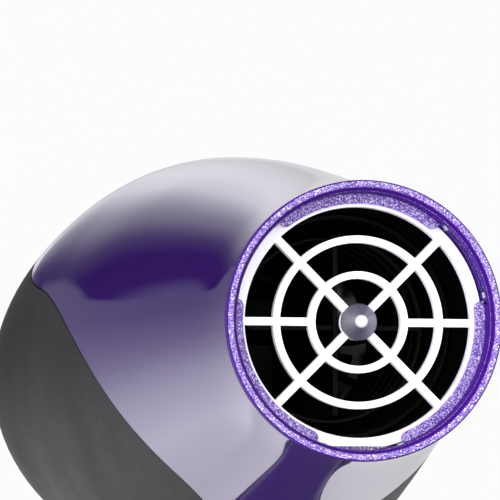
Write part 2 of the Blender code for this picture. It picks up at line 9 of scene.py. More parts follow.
import bmesh
import bpy
import numpy as np
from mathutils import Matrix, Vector


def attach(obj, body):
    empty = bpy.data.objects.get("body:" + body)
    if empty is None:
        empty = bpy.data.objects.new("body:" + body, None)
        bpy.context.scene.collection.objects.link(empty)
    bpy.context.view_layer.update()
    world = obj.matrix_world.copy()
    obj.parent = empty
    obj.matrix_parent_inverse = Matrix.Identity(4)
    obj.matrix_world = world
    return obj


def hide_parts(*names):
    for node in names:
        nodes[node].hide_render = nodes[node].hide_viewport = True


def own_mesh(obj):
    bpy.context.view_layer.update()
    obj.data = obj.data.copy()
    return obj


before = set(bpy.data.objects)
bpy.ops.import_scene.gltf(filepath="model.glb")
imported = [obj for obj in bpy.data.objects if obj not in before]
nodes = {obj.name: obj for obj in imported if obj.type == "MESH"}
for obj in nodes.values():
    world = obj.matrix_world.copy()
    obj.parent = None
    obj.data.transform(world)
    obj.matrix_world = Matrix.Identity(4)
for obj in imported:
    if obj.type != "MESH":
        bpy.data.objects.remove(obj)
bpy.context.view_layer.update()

MM = 0.001
TOTAL_LENGTH = 174.8
AXIS_HEIGHT = 175.5

LIP_RADIUS = 23.0
RING_BORE = 21.15
RING_LENGTH = 12.0
SPIGOT_RADIUS = 21.85
LEDGE_RADIUS = 19.5
GRILLE_FRONT = 5.6
GRILLE_THICK = 1.7
GRILLE_RINGS = ((19.03, 20.85), (13.11, 14.29), (7.2, 8.38), (1.35, 2.95))
SPOKE_WIDTH = 1.3
LEDGE_ANGLES = (0.0, 120.0, 240.0)
BAYONET_ANGLES = (60.0, 180.0, 300.0)

# the head's cross sections: y, half width, half height, height of the middle
SECTIONS = (
    (1.7, 23.0, 23.0, 0.0), (12.0, 23.8, 23.7, -0.15), (30.0, 26.7, 26.2, -0.6), (58.0, 31.1, 31.3, -1.2),
    (88.0, 35.5, 37.4, -2.4), (115.0, 38.5, 41.6, -3.6), (138.0, 40.9, 42.4, -2.4), (156.0, 44.8, 37.4, -3.7),
    (168.0, 36.8, 33.2, -5.6), (172.0, 31.0, 31.0, -6.0),
)
# the handle's: z, half width, half depth
LEVELS = ((-57.0, 14.0, 22.0), (-69.0, 13.2, 19.6), (-92.0, 13.0, 19.0), (-152.0, 13.0, 19.0))
# the line between the two shells in the side view: y, z
SEAM = (
    (171.0, 64.0), (167.5, 50.0), (161.0, 36.0), (152.0, 25.0), (143.5, 18.0), (135.0, 14.2),
    (120.0, 11.3), (106.4, 7.4), (92.5, 2.0), (83.0, -2.6), (74.3, -7.8), (67.5, -12.9),
    (62.0, -18.1), (59.2, -22.4), (58.8, -26.0), (61.5, -29.2), (68.0, -32.0), (76.0, -34.8),
    (83.0, -38.0), (88.0, -42.0), (92.0, -48.0), (95.5, -56.0), (98.5, -68.0), (101.0, -86.0),
    (102.0, -105.0), (102.0, -190.0),
)
SIDES = 12
SMOOTHING = 3
WALL = 2.0
SEAM_GAP = 0.24
SEAT_RADIUS = 22.1

HANDLE_Y = 113.0
HANDLE_HALF_WIDTH = 13.0
HANDLE_HALF_DEPTH = 19.0
HANDLE_BASE = -152.4
CORD_Y = HANDLE_Y - 3.0
LOOP_Y = HANDLE_Y + 10.5
INTAKE_Z = -6.0
BUTTON_Z = -81.5
SLIDER_RESTS = (-104.0, -126.0)
SLIDER_STEP = 4.0
PANEL_FRONT = 93.5
DIAL_Z = -112.0
SCREWS = ((-66.0, 132.4), (-141.0, 131.0))    # z, y of the outside


def place(x, y, z):
    return Vector((x * MM, (y - TOTAL_LENGTH / 2) * MM, (z + AXIS_HEIGHT) * MM))


# ------------------------------------------------------------------ materials

def connect(tree, value, socket):
    """Link another node's output to the socket, or set the socket to a plain value."""
    if isinstance(value, bpy.types.NodeSocket):
        tree.links.new(value, socket)
    else:
        socket.default_value = value


def add_node(tree, kind, inputs=None, **settings):
    node = tree.nodes.new(kind)
    for key, value in settings.items():
        setattr(node, key, value)
    for key, value in (inputs or {}).items():
        connect(tree, value, node.inputs[key])
    return node


class Nodes:
    """Shorthand for building a material's nodes."""

    def __init__(self, name):
        self.material = bpy.data.materials.new(name)
        self.material.use_nodes = True
        self.tree = self.material.node_tree
        self.shader = self.tree.nodes["Principled BSDF"]
        self.coord = self.tree.nodes.new("ShaderNodeTexCoord").outputs["Object"]

    def add(self, kind, inputs=None, **settings):
        return add_node(self.tree, kind, inputs, **settings)

    def set(self, **values):
        """Set the shader's inputs by name, with _ for a space."""
        for key, value in values.items():
            connect(self.tree, value, self.shader.inputs[key.replace("_", " ")])

    def math(self, operation, a, b=0.0):
        return self.add("ShaderNodeMath", {0: a, 1: b}, operation=operation).outputs[0]

    def noise(self, scale, detail=2.0, coord=None, roughness=0.5):
        return self.add("ShaderNodeTexNoise", {"Vector": coord or self.coord, "Scale": scale, "Detail": detail,
                                               "Roughness": roughness}).outputs["Fac"]

    def ramp(self, value, stops):
        node = self.add("ShaderNodeValToRGB", {"Fac": value})
        elements = node.color_ramp.elements
        while len(elements) < len(stops):
            elements.new(0.5)
        for element, (position, colour) in zip(elements, stops):
            element.position = position
            element.color = (*colour, 1.0)
        return node.outputs["Color"]

    def between(self, value, low, high, start=0.0, end=1.0):
        node = self.add("ShaderNodeMapRange", {"Value": value, "From Min": low, "From Max": high, "To Min": start,
                                               "To Max": end})
        node.clamp = True
        return node.outputs["Result"]

    def mix(self, factor, a, b):
        """Mix two colours, each given as red, green and blue or as another node's output."""
        a, b = ((*colour, 1.0) if isinstance(colour, tuple) else colour for colour in (a, b))
        return self.add("ShaderNodeMix", {0: factor, 6: a, 7: b}, data_type="RGBA").outputs[2]

    def bump(self, height, strength, distance):
        return self.add("ShaderNodeBump", {"Height": height, "Strength": strength,
                                           "Distance": distance}).outputs["Normal"]

    def barrel_radius(self):
        """Distance from the barrel axis, in millimetres."""
        split = self.add("ShaderNodeSeparateXYZ", {"Vector": self.coord})
        up = self.math("SUBTRACT", split.outputs["Z"], AXIS_HEIGHT * MM)
        square = self.math("ADD", self.math("MULTIPLY", split.outputs["X"], split.outputs["X"]),
                           self.math("MULTIPLY", up, up))
        return self.math("MULTIPLY", self.math("SQRT", square), 1000.0)


def purple_gloss():
    m = Nodes("purple_gloss_look")
    cloud = m.noise(35.0, 3.0)
    m.set(Base_Color=m.mix(m.between(cloud, 0.3, 0.7), (0.0205, 0.0068, 0.07), (0.0225, 0.0076, 0.075)))
    peel = m.noise(420.0, 1.0)
    m.set(Normal=m.bump(peel, 0.02, 0.00004))
    m.set(Roughness=m.between(cloud, 0.2, 0.8, 0.03, 0.045))
    m.shader.inputs["IOR"].default_value = 1.6
    m.shader.inputs["Specular Tint"].default_value = (1.0, 0.95, 1.1, 1.0)
    return m.material


def black_soft_touch():
    m = Nodes("black_soft_touch_look")
    cloud = m.noise(60.0, 4.0)
    grain = m.noise(2600.0, 3.0, roughness=0.7)
    m.set(Base_Color=m.ramp(grain, [(0.35, (0.004, 0.0041, 0.0039)), (0.65, (0.021, 0.0212, 0.0204))]))
    m.set(Roughness=m.between(cloud, 0.3, 0.7, 0.5, 0.58))
    m.set(Normal=m.bump(grain, 0.3, 0.00005))
    m.shader.inputs["IOR"].default_value = 1.2
    return m.material


def purple_glitter():
    """Fine flakes, with painted shade in plain dark purple along the collar's rounded edges and on its inner wall."""
    m = Nodes("purple_glitter_look")
    flakes = m.add("ShaderNodeTexVoronoi", {"Vector": m.coord, "Scale": 6200.0})
    split = m.add("ShaderNodeSeparateColor", {"Color": flakes.outputs["Color"]})
    tone = m.ramp(split.outputs["Red"], [
        (0.0, (0.09, 0.04, 0.25)), (0.45, (0.2, 0.12, 0.46)), (0.8, (0.46, 0.37, 0.72)), (1.0, (0.95, 0.9, 1.0))])
    radius = m.barrel_radius()
    # painted shade: the outer rim, the inner chamfer and the inner wall turn dark purple, with no flakes
    outer = m.between(radius, 22.66, 22.82)
    inner = m.math("MULTIPLY", m.between(radius, 21.2, 21.3), m.between(radius, 21.95, 21.75))
    wall = m.math("MULTIPLY", m.between(radius, 21.05, 21.12), m.between(radius, 21.25, 21.2))
    edge = m.math("MAXIMUM", m.math("MAXIMUM", outer, inner), wall)
    clear = m.math("SUBTRACT", 1.0, edge)
    m.set(Base_Color=m.mix(edge, tone, (0.035, 0.004, 0.14)))
    m.set(Metallic=m.math("MULTIPLY", m.between(split.outputs["Green"], 0.55, 0.9, 0.0, 0.75), clear))
    m.set(Roughness=m.between(split.outputs["Blue"], 0.0, 1.0, 0.25, 0.5))
    tilt = m.math("SUBTRACT", split.outputs["Blue"], 0.5)
    m.set(Normal=m.bump(m.math("MULTIPLY", tilt, clear), 0.5, 0.00012))
    m.shader.inputs["IOR"].default_value = 1.12
    return m.material


def white_ceramic():
    m = Nodes("white_ceramic_painted_glow_look")
    cloud = m.noise(90.0, 3.0)
    m.set(Base_Color=m.mix(m.between(cloud, 0.3, 0.7), (0.9, 0.9, 0.905), (0.93, 0.93, 0.935)))
    # painted glow: a faint white emission keeps the grille evenly bright where the ring shades it
    m.set(Emission_Color=(0.95, 0.95, 1.0, 1.0), Emission_Strength=m.between(cloud, 0.3, 0.7, 0.14, 0.16))
    m.set(Roughness=m.between(cloud, 0.3, 0.7, 0.22, 0.3))
    m.set(Normal=m.bump(m.noise(900.0, 2.0), 0.05, 0.00004))
    m.shader.inputs["Coat Weight"].default_value = 0.5
    m.shader.inputs["Coat Roughness"].default_value = 0.1
    return m.material


def turned_steel():
    """Spun metal: painted reflections in fans of light and dark round the axis, fine turning rings, and a painted
    highlight on the polished tip.
    """
    m = Nodes("turned_steel_look")
    split = m.add("ShaderNodeSeparateXYZ", {"Vector": m.coord})
    up = m.math("SUBTRACT", split.outputs["Z"], AXIS_HEIGHT * MM)
    angle = m.math("ARCTAN2", up, split.outputs["X"])
    radius = m.barrel_radius()
    # painted reflection: fans and streaks of light and dark round the axis stand in for the turned metal's own
    # highlights
    painted_reflection_fans = m.math("COSINE", m.math("MULTIPLY", angle, 2.0))
    blades = m.noise(9.0, 2.0, m.add("ShaderNodeCombineXYZ", {"X": m.math("COSINE", angle),
                                                             "Y": m.math("SINE", angle)}).outputs["Vector"])
    light = m.math("ADD", m.math("MULTIPLY", painted_reflection_fans, 0.3), m.math("MULTIPLY", blades, 0.9))
    cone = m.ramp(m.between(light, -0.1, 0.95), [
        (0.0, (0.11, 0.1, 0.15)), (0.35, (0.2, 0.19, 0.25)), (0.7, (0.33, 0.32, 0.36)), (1.0, (0.46, 0.45, 0.49))])
    # painted highlight: the tip is near white and only half metallic
    painted_tip_highlight = m.between(radius, 1.15, 0.8)
    m.set(Base_Color=m.mix(painted_tip_highlight, cone, (0.98, 0.98, 0.99)))
    m.set(Metallic=m.math("SUBTRACT", 1.0, m.math("MULTIPLY", painted_tip_highlight, 0.5)))
    rings = m.math("SINE", m.math("MULTIPLY", radius, 38.0))
    m.set(Roughness=m.between(blades, 0.3, 0.7, 0.4, 0.5))
    m.set(Normal=m.bump(rings, 0.12, 0.00002))
    return m.material


def moulded(name, dark, light, roughness, grain=1400.0, strength=0.15, coat=0.0, ior=1.5):
    m = Nodes(name)
    cloud = m.noise(80.0, 3.0)
    m.set(Base_Color=m.mix(m.between(cloud, 0.3, 0.7), dark, light))
    m.set(Roughness=m.between(cloud, 0.3, 0.7, roughness - 0.04, roughness + 0.04))
    m.set(Normal=m.bump(m.noise(grain, 2.0), strength, 0.00004))
    m.shader.inputs["Coat Weight"].default_value = coat
    m.shader.inputs["IOR"].default_value = ior
    return m.material


def metal(name, dark, light, roughness):
    m = Nodes(name)
    stretched = m.add("ShaderNodeMapping", {"Vector": m.coord, "Scale": (1.0, 1.0, 30.0)}).outputs["Vector"]
    lines = m.noise(260.0, 4.0, stretched)
    m.set(Base_Color=m.mix(m.between(lines, 0.3, 0.7), dark, light))
    m.set(Metallic=1.0)
    m.set(Roughness=m.between(lines, 0.25, 0.75, roughness - 0.06, roughness + 0.06))
    m.set(Normal=m.bump(lines, 0.1, 0.00002))
    return m.material


def mica():
    m = Nodes("mica_painted_shade_look")
    stretched = m.add("ShaderNodeMapping", {"Vector": m.coord, "Scale": (1.0, 0.35, 1.0)}).outputs["Vector"]
    flakes = m.noise(420.0, 5.0, stretched, 0.65)
    # Near black: painted shade for the dim inside of the barrel
    m.set(Base_Color=m.ramp(flakes, [(0.35, (0.002, 0.0018, 0.0016)), (0.65, (0.006, 0.0052, 0.0045))]))
    m.set(Roughness=m.between(flakes, 0.3, 0.7, 0.35, 0.6))
    m.set(Normal=m.bump(flakes, 0.3, 0.00005))
    m.shader.inputs["IOR"].default_value = 1.2
    return m.material


def circuit():
    m = Nodes("circuit_look")
    brick = m.add("ShaderNodeTexBrick", {"Vector": m.coord, "Scale": 260.0, "Mortar Size": 0.03})
    traces = m.add("ShaderNodeTexWave", {"Vector": m.coord, "Scale": 90.0, "Distortion": 6.0}).outputs["Fac"]
    m.set(Base_Color=m.mix(m.between(traces, 0.62, 0.68), (0.012, 0.09, 0.035), (0.03, 0.2, 0.08)))
    m.set(Roughness=m.between(brick.outputs["Fac"], 0.0, 1.0, 0.35, 0.5))
    m.set(Normal=m.bump(traces, 0.2, 0.00005))
    return m.material


looks = {
    "purple_gloss": purple_gloss(),
    "black_soft_touch": black_soft_touch(),
    "purple_glitter": purple_glitter(),
    "white_ceramic": white_ceramic(),
    "turned_steel": turned_steel(),
    "mica": mica(),
    "circuit_green": circuit(),
    "heat_plastic": moulded("heat_plastic_look", (0.0015, 0.0015, 0.0016), (0.003, 0.003, 0.0032), 0.6, ior=1.18),
    "duct_plastic": moulded("duct_plastic_look", (0.004, 0.004, 0.0042), (0.008, 0.008, 0.0083), 0.4, ior=1.3),
    "black_gloss": moulded("black_gloss_look", (0.008, 0.008, 0.01), (0.014, 0.014, 0.016), 0.14, 600.0, 0.03, 0.6),
    "silver_plastic": moulded("silver_plastic_look", (0.42, 0.41, 0.46), (0.5, 0.49, 0.54), 0.34, 2200.0, 0.12, 0.2),
    "black_rubber": moulded("black_rubber_look", (0.014, 0.014, 0.015), (0.024, 0.024, 0.025), 0.7, 1800.0, 0.3),
    # The heater wire is near black: painted shade for the dim inside of the barrel
    "resistance_wire": metal("resistance_wire_painted_shade_look", (0.012, 0.01, 0.009), (0.03, 0.026, 0.023), 0.5),
    "motor_steel": metal("motor_steel_look", (0.02, 0.02, 0.021), (0.035, 0.035, 0.036), 0.5),
    "screw_steel": metal("screw_steel_look", (0.42, 0.42, 0.42), (0.58, 0.58, 0.58), 0.3),
}
looks["silver_plastic"].node_tree.nodes["Principled BSDF"].inputs["Metallic"].default_value = 0.6


# ------------------------------------------------------------------ mesh helpers

def add_object(name, bm, slot=None):
    bmesh.ops.recalc_face_normals(bm, faces=bm.faces)
    mesh = bpy.data.meshes.new(name)
    bm.to_mesh(mesh)
    bm.free()
    made = bpy.data.objects.new(name, mesh)
    bpy.context.scene.collection.objects.link(made)
    if slot:
        mesh.materials.append(looks[slot])
    shade(made)
    return made


def shade(item, angle=35.0):
    for polygon in item.data.polygons:
        polygon.use_smooth = True
    item.data.set_sharp_from_angle(angle=math.radians(angle))


def bake(item):
    """Apply the item's modifiers."""
    depsgraph = bpy.context.evaluated_depsgraph_get()
    mesh = bpy.data.meshes.new_from_object(item.evaluated_get(depsgraph))
    item.modifiers.clear()
    item.data = mesh


def combine(item, tool, operation):
    boolean = item.modifiers.new("Combine", "BOOLEAN")
    boolean.operation = operation
    boolean.solver = "EXACT"
    boolean.object = tool
    bake(item)
    bpy.data.objects.remove(tool, do_unlink=True)
    while len(item.data.materials) > 1:
        item.data.materials.pop(index=len(item.data.materials) - 1)
    for polygon in item.data.polygons:
        polygon.material_index = 0


def gather(name, items):
    """Join several items into one."""
    bm = bmesh.new()
    for item in items:
        bm.from_mesh(item.data)
    slots = list(items[0].data.materials)
    for item in items:
        bpy.data.objects.remove(item, do_unlink=True)
    made = add_object(name, bm)
    for slot in slots:
        made.data.materials.append(slot)
    return made


def turned(name, profile, slot=None, axis="Y", centre=(0.0, 0.0), segments=96):
    """A profile of (along, radius) points turned round an axis along y or z; centre gives its other two places."""
    bm = bmesh.new()
    rings = []
    for along, radius in profile:
        ring = []
        for step in range(segments if radius > 0 else 1):
            angle = 2 * math.pi * step / segments
            u = centre[0] + radius * math.sin(angle)
            v = centre[1] + radius * math.cos(angle)
            ring.append(bm.verts.new(place(u, along, v) if axis == "Y" else place(u, v, along)))
        rings.append(ring)
    for first, second in zip(rings, rings[1:] + rings[:1]):
        if len(first) == 1 and len(second) == 1:
            continue
        for step in range(segments):
            after = (step + 1) % segments
            corners = [first[step % len(first)], first[after % len(first)],
                       second[after % len(second)], second[step % len(second)]]
            bm.faces.new(list(dict.fromkeys(corners)))
    return add_object(name, bm, slot)


def block(name, x, y, z, slot=None):
    bm = bmesh.new()
    bmesh.ops.create_cube(bm, size=1.0)
    low = place(x[0], y[0], z[0])
    high = place(x[1], y[1], z[1])
    for vert in bm.verts:
        vert.co = Vector([low[i] if vert.co[i] < 0 else high[i] for i in range(3)])
    return add_object(name, bm, slot)


def extruded(name, points, y, slot=None):
    """An outline of (x, z) points about the barrel axis, between two values of y."""
    bm = bmesh.new()
    near = [bm.verts.new(place(u, y[0], v)) for u, v in points]
    far = [bm.verts.new(place(u, y[1], v)) for u, v in points]
    bm.faces.new(near)
    bm.faces.new(list(reversed(far)))
    for i in range(len(points)):
        j = (i + 1) % len(points)
        bm.faces.new((near[j], near[i], far[i], far[j]))
    return add_object(name, bm, slot)


def arc_points(inner, outer, middle, half_angle, rounding=0.0, steps=48):
    """The outline of a piece of a ring, its inner corners rounded."""
    start = math.radians(middle + half_angle)
    end = math.radians(middle - half_angle)
    turn = rounding / inner
    outline = [(outer, end + (start - end) * i / steps) for i in range(steps + 1)]
    if rounding:
        for i in range(1, 9):
            quarter = math.radians(90 * i / 9)
            outline.append((inner + rounding * (1 - math.sin(quarter)), start - turn * (1 - math.cos(quarter))))
    for i in range(steps + 1):
        outline.append((inner, start - turn + (end - start + 2 * turn) * i / steps))
    if rounding:
        for i in range(8, 0, -1):
            quarter = math.radians(90 * i / 9)
            outline.append((inner + rounding * (1 - math.sin(quarter)), end + turn * (1 - math.cos(quarter))))
    points = []
    for radius, angle in outline:
        point = (radius * math.sin(angle), radius * math.cos(angle))
        if not points or math.dist(point, points[-1]) > 0.005:
            points.append(point)
    if math.dist(points[0], points[-1]) < 0.005:
        points.pop()
    return points


def turn_about_barrel(item, degrees, axis_z=0.0):
    angle = math.radians(degrees)
    centre = place(0, 0, axis_z)
    for vert in item.data.vertices:
        x = vert.co.x - centre.x
        z = vert.co.z - centre.z
        vert.co.x = centre.x + x * math.cos(angle) + z * math.sin(angle)
        vert.co.z = centre.z - x * math.sin(angle) + z * math.cos(angle)


def tube_along(name, path, radius, sides, slot, closed=False, level=(0, 1, 0)):
    bm = bmesh.new()
    rings = []
    count = len(path)
    for i, point in enumerate(path):
        before = path[(i - 1) % count] if closed or i else path[0]
        after = path[(i + 1) % count] if closed or i < count - 1 else path[-1]
        along = (after - before).normalized()
        side = along.cross(Vector(level)).normalized()
        up = side.cross(along)
        rings.append([
            bm.verts.new(point + radius * MM * (side * math.cos(a) + up * math.sin(a)))
            for a in (2 * math.pi * k / sides for k in range(sides))
        ])
    pairs = list(zip(rings, rings[1:]))
    if closed:
        pairs.append((rings[-1], rings[0]))
    for first, second in pairs:
        for k in range(sides):
            m = (k + 1) % sides
            bm.faces.new((first[k], first[m], second[m], second[k]))
    if not closed:
        bm.faces.new(rings[0])
        bm.faces.new(list(reversed(rings[-1])))
    return add_object(name, bm, slot)


def soften(item, width, segments=2, angle=40.0):
    """Round off the sharp edges with a small bevel."""
    bevel = item.modifiers.new("Soft edges", "BEVEL")
    bevel.width = width * MM
    bevel.segments = segments
    bevel.limit_method = "ANGLE"
    bevel.angle_limit = math.radians(angle)
    bevel.harden_normals = True
    bevel.use_clamp_overlap = True


def finish_piece(item, body, slot, *replaced):
    """Say which body the piece rides on and hide the CAD nodes that it stands for; the slot is not used."""
    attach(item, body)
    if replaced:
        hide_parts(*replaced)


# ------------------------------------------------------------------ housings

def body_surface():
    """The outside of the head and handle, as one open surface."""
    stretch = 6 / (4 + 2 * math.cos(2 * math.pi / SIDES))
    bm = bmesh.new()
    rings = []
    for y, half_width, half_height, height in SECTIONS:
        ring = []
        for side in range(SIDES):
            angle = 2 * math.pi * side / SIDES
            ring.append(bm.verts.new(place(half_width * stretch * math.sin(angle), y,
                                           height + half_height * stretch * math.cos(angle))))
        rings.append(ring)
    for i in range(len(rings) - 1):
        for k in range(SIDES):
            if i in (4, 5) and k in (5, 6):
                continue
            m = (k + 1) % SIDES
            bm.faces.new((rings[i][k], rings[i][m], rings[i + 1][m], rings[i + 1][k]))
    loop = [rings[4][5], rings[4][6], rings[4][7], rings[5][7], rings[6][7], rings[6][6], rings[6][5], rings[5][5]]
    for z, half_width, half_depth in LEVELS:
        front = HANDLE_Y - half_depth
        back = HANDLE_Y + half_depth
        spots = ((half_width, front), (0, front), (-half_width, front), (-half_width, HANDLE_Y),
                 (-half_width, back), (0, back), (half_width, back), (half_width, HANDLE_Y))
        below = [bm.verts.new(place(x, y, z)) for x, y in spots]
        for k in range(8):
            m = (k + 1) % 8
            bm.faces.new((loop[k], loop[m], below[m], below[k]))
        loop = below
    surface = add_object("body_surface", bm)
    smoothing = surface.modifiers.new("Smooth surface", "SUBSURF")
    smoothing.levels = SMOOTHING
    smoothing.render_levels = SMOOTHING
    smoothing.use_limit_surface = False
    bake(surface)
    return surface


def seam_points():
    """The seam as a smooth curve through its points."""
    steps = 8
    points = []
    for i in range(len(SEAM) - 1):
        before = Vector(SEAM[max(i - 1, 0)])
        start = Vector(SEAM[i])
        end = Vector(SEAM[i + 1])
        after = Vector(SEAM[min(i + 2, len(SEAM) - 1)])
        for s in range(steps):
            t = s / steps
            points.append(0.5 * (2 * start + (end - before) * t
                                 + (2 * before - 5 * start + 4 * end - after) * t * t
                                 + (3 * start - before - 3 * end + after) * t ** 3))
    points.append(Vector(SEAM[-1]))
    return np.array([(p.x, p.y) for p in points])


def seam_distance(bm):
    """Distance of every vertex behind the seam in the side view, in millimetres, less than 0 in front of it."""
    seam = seam_points()
    here = np.array([(v.co.y / MM + TOTAL_LENGTH / 2, v.co.z / MM - AXIS_HEIGHT) for v in bm.verts])
    best = np.full(len(here), 1e9)
    signed = np.zeros(len(here))
    for a, b in zip(seam[:-1], seam[1:]):
        along = b - a
        length = along @ along
        t = np.clip(((here - a) @ along) / length, 0, 1)
        away = here - a - t[:, None] * along
        distance = np.hypot(away[:, 0], away[:, 1])
        side = np.sign(away[:, 1] * along[0] - away[:, 0] * along[1])
        closer = distance < best
        best[closer] = distance[closer]
        signed[closer] = (distance * side)[closer]
    return signed


def clip_at_seam(surface, name, side, gap):
    """Keep the surface in front of the seam (side -1) or behind it (side 1), with half the gap taken off."""
    bm = bmesh.new()
    bm.from_mesh(surface.data)
    bm.verts.ensure_lookup_table()
    values = dict(zip(bm.verts, seam_distance(bm) * side - gap / 2))
    for edge in bm.edges:
        a, b = edge.verts
        va, vb = values[a], values[b]
        if va * vb >= 0:
            continue
        t = va / (va - vb)
        if t < 0.15:
            a.co = a.co.lerp(b.co, t)
            values[a] = 0.0
        elif t > 0.85:
            b.co = a.co.lerp(b.co, t)
            values[b] = 0.0
    for edge in list(bm.edges):
        a, b = edge.verts
        va, vb = values[a], values[b]
        if va * vb < 0:
            _, made = bmesh.utils.edge_split(edge, a, va / (va - vb))
            values[made] = 0.0
    for face in list(bm.faces):
        on_seam = [v for v in face.verts if values[v] == 0.0]
        signs = {values[v] > 0 for v in face.verts if values[v] != 0.0}
        if len(on_seam) == 2 and len(signs) == 2:
            bmesh.utils.face_split(face, on_seam[0], on_seam[1])
    doomed = [f for f in bm.faces if min(values[v] for v in f.verts) < 0]
    bmesh.ops.delete(bm, geom=doomed, context="FACES")
    loose = [v for v in bm.verts if not v.link_faces]
    bmesh.ops.delete(bm, geom=loose, context="VERTS")
    mesh = bpy.data.meshes.new(name)
    bm.to_mesh(mesh)
    bm.free()
    made = bpy.data.objects.new(name, mesh)
    bpy.context.scene.collection.objects.link(made)
    return made


def make_shells():
    surface = body_surface()
    front = clip_at_seam(surface, "front_shell", -1, SEAM_GAP)
    rear = clip_at_seam(surface, "rear_shell", 1, SEAM_GAP)
    bpy.data.objects.remove(surface, do_unlink=True)
    for shell, slot in ((front, "purple_gloss"), (rear, "black_soft_touch")):
        wall = shell.modifiers.new("Wall", "SOLIDIFY")
        wall.thickness = WALL * MM
        wall.offset = -1.0
        wall.use_even_offset = True
        bake(shell)
        shell.data.materials.clear()
        shell.data.materials.append(looks[slot])
    seat = turned("seat", [(-5.0, 0), (-5.0, SEAT_RADIUS), (12.3, SEAT_RADIUS), (12.3, 0)], segments=128)
    combine(front, seat, "DIFFERENCE")
    combine(front, block("pocket", (-6.8, 6.8), (85.0, 101.0), (-135.3, -72.7)), "DIFFERENCE")
    holes = [turned("hole", [(120.0, 0), (120.0, 3.25), (140.0, 3.25), (140.0, 0)], centre=(0, z), segments=48)
             for z, _ in SCREWS]
    holes.append(turned("hole", [(120.0, 0), (120.0, 6.4), (140.0, 6.4), (140.0, 0)], centre=(0, DIAL_Z),
                        segments=64))
    combine(rear, gather("holes", holes), "DIFFERENCE")
    for shell in (front, rear):
        shade(shell, 50)
        soften(shell, 0.22, 3, 50.0)
    finish_piece(front, "housing", "purple_gloss", "front_housing")
    finish_piece(rear, "housing", "black_soft_touch", "rear_housing")
    bosses = []
    for z, far in SCREWS:
        bosses.append(turned("boss", [(108.0, 1.7), (108.0, 4.5), (far - 0.4, 4.5), (far - 0.4, 3.2),
                                      (far - 3.6, 3.2), (far - 3.6, 1.7)], "black_soft_touch", centre=(0, z),
                             segments=48))
    finish_piece(gather("screw_wells", bosses), "housing", "black_soft_touch")


# ------------------------------------------------------------------ outlet

def make_outlet():
    lip = [(0.0, 22.1), (0.0, 22.6)]
    for i in range(1, 7):
        turn = math.radians(90 * i / 6)
        lip.append((0.4 * (1 - math.cos(turn)), 22.6 + 0.4 * math.sin(turn)))
    collar = turned("outlet_collar", lip + [
        (1.4, LIP_RADIUS), (1.4, SPIGOT_RADIUS), (RING_LENGTH, SPIGOT_RADIUS), (RING_LENGTH, RING_BORE),
        (1.3, RING_BORE), (1.0, 21.22), (0.7, 21.42), (0.4, 21.68), (0.15, 21.92)], "purple_glitter", segments=180)
    for middle in LEDGE_ANGLES:
        ledge = extruded("ledge", arc_points(LEDGE_RADIUS, RING_BORE + 0.3, middle, 40.0, 1.2), (4.3, 5.3))
        combine(collar, ledge, "UNION")
    grooves = []
    for middle in BAYONET_ANGLES:
        outline = arc_points(RING_BORE - 0.6, RING_BORE + 0.45, middle, 16.0)
        for depth in ((2.4, 2.9), (3.3, 4.3)):
            grooves.append(extruded("groove", outline, depth))
    combine(collar, gather("grooves", grooves), "DIFFERENCE")
    shade(collar, 40)
    soften(collar, 0.12, 2, 45.0)
    finish_piece(collar, "housing", "purple_glitter", "outlet_ring")

    tabs = []
    for middle in BAYONET_ANGLES:
        for side in (-17.6, 17.6):
            outline = arc_points(RING_BORE - 0.22, RING_BORE + 0.1, middle + side, 1.3, steps=6)
            tabs.append(extruded("tab", outline, (2.3, 3.4), "silver_plastic"))
    stops = gather("bayonet_stops", tabs)
    soften(stops, 0.06, 2)
    finish_piece(stops, "housing", "silver_plastic")

    back = GRILLE_FRONT + GRILLE_THICK
    hoops = [turned("hoop", [(GRILLE_FRONT, inner), (GRILLE_FRONT, outer), (back, outer), (back, inner)],
                    "white_ceramic", segments=160 if inner > 10 else 96) for inner, outer in GRILLE_RINGS]
    grille = gather("grille_disc", hoops)
    depth = (GRILLE_FRONT + 0.03, back - 0.03)
    spokes = []
    for angle, start in ((45, 2.6), (135, 2.6), (225, 2.6), (315, 2.6), (90, 7.8), (270, 7.8)):
        spoke = block("spoke", (-SPOKE_WIDTH / 2, SPOKE_WIDTH / 2), depth, (start, 19.6))
        turn_about_barrel(spoke, angle)
        spokes.append(spoke)
    combine(grille, gather("spokes", spokes), "UNION")
    shade(grille, 35)
    soften(grille, 0.14, 3, 40.0)
    finish_piece(grille, "housing", "white_ceramic", "outlet_grille")

    front = GRILLE_FRONT - 0.3
    cone = turned("turned_cone", [
        (front - 2.5, 0), (front - 2.48, 0.35), (front - 2.36, 0.7), (front - 2.15, 1.05), (front - 0.5, 2.85),
        (front - 0.3, 3.0), (front, 3.05), (front, 1.05), (9.4, 1.05), (9.6, 0.8), (9.6, 0)],
        "turned_steel", segments=96)
    shade(cone, 50)
    finish_piece(cone, "housing", "turned_steel", "grille_hub")


# ------------------------------------------------------------------ inside

def make_inside():
    """The round heater wire on its mica boards."""
    path = []
    turns, per_turn, radius = 8, 56, 15.75
    for i in range(turns * per_turn + 1):
        angle = 2 * math.pi * i / per_turn
        along = 27.0 + 46.0 * i / (turns * per_turn)
        path.append(place(radius * math.sin(angle), along, radius * math.cos(angle)))
    coil = tube_along("heater_wire", path, 0.5, 10, "resistance_wire")
    finish_piece(coil, "housing", "resistance_wire", "heating_coil")


def make_spring():
    """The return spring behind the cool shot button, built at rest with its own mesh."""
    path = []
    turns, per_turn, radius = 4, 28, 2.6
    for i in range(turns * per_turn + 1):
        angle = 2 * math.pi * i / per_turn
        along = 100.85 + 4.2 * i / (turns * per_turn)
        path.append(place(radius * math.sin(angle), along, BUTTON_Z + radius * math.cos(angle)))
    spring = tube_along("return_spring", path, 0.3, 10, "screw_steel")
    finish_piece(spring, "housing", "screw_steel", "cool_shot_spring")
    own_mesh(spring)


